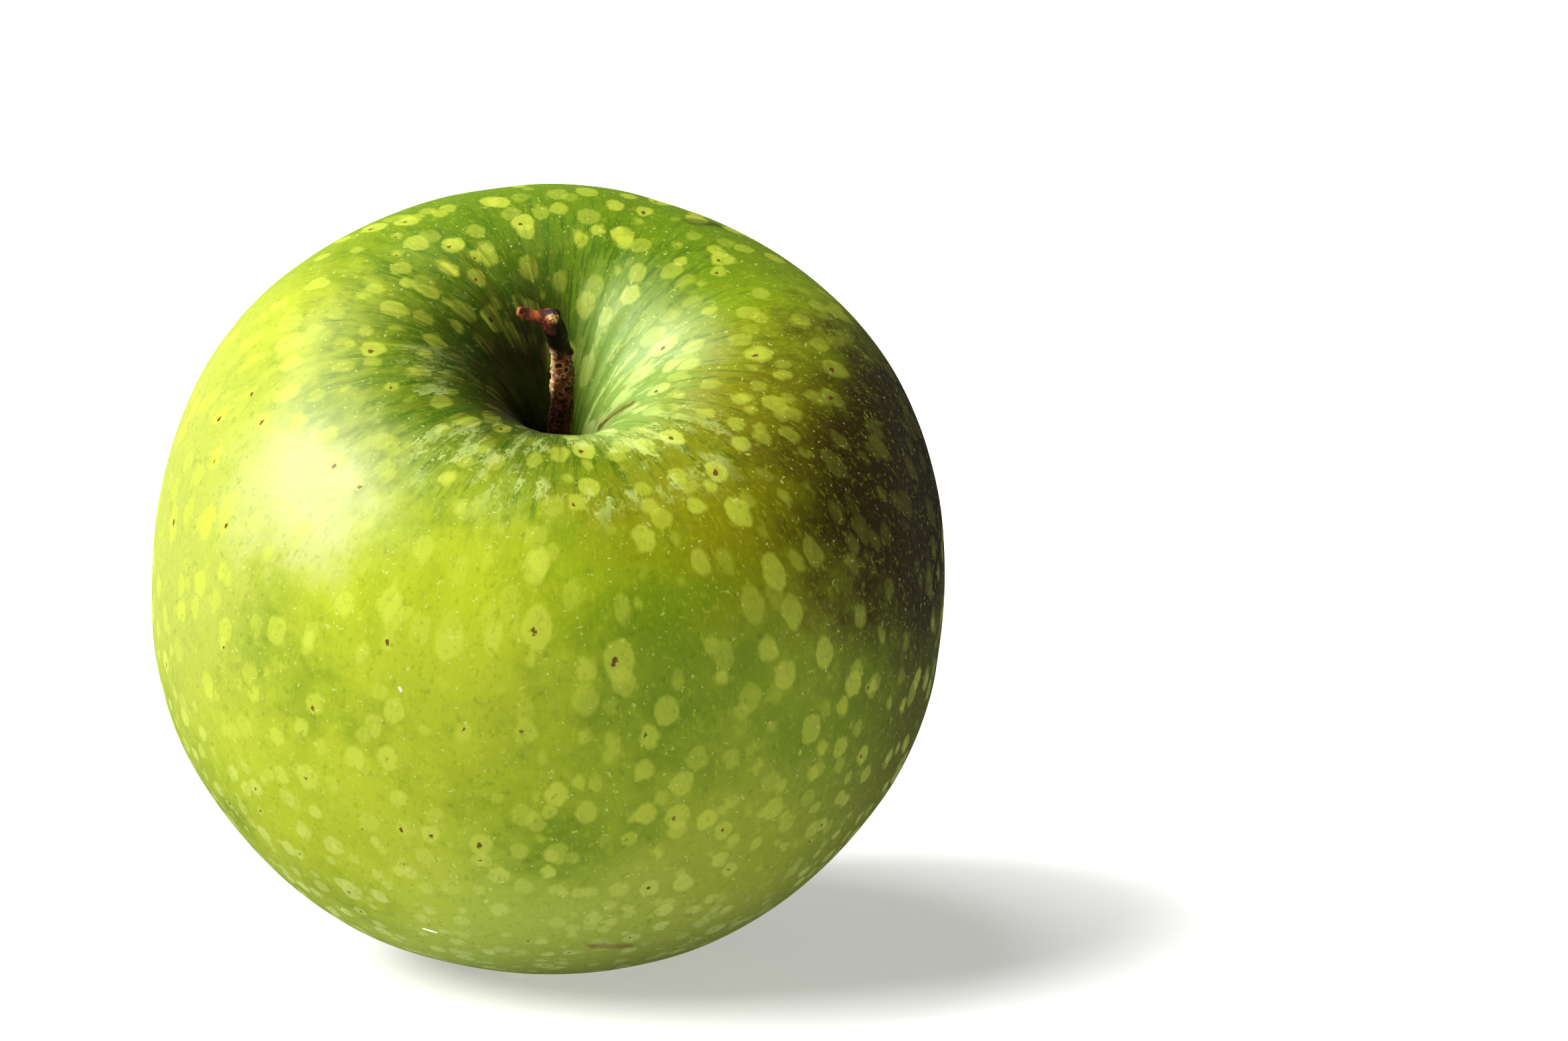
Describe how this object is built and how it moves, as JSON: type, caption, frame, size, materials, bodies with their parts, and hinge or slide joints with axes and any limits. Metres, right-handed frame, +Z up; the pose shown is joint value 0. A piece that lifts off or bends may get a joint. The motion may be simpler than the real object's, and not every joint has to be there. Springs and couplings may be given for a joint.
{
  "type": "apple",
  "caption": "Green apple leaning on its cheek, with a deep stalk cavity, a hooked stalk and a dried calyx in its basin.",
  "frame": {"origin": "middle of the flat spot that the apple rests on", "axes": "+Z up out of the surface it rests on, -Y to the front, where the stalk leans to; +X to the right seen from the front"},
  "size_m": [0.0799, 0.0805, 0.078],
  "materials": {
    "green_skin": "smooth waxy apple skin, satin gloss, green with pale lenticels",
    "stalk_bark": "matt dark bark",
    "dry_sepal": "dry brown leaf with pale down",
    "dry_stamen": "dry brown filaments"
  },
  "bodies": {
    "root": {"fruit": "green_skin", "stalk": "stalk_bark", "sepal_1": "dry_sepal", "sepal_2": "dry_sepal", "sepal_3": "dry_sepal", "sepal_4": "dry_sepal", "sepal_5": "dry_sepal", "stamens": "dry_stamen"}
  },
  "joints": []
}
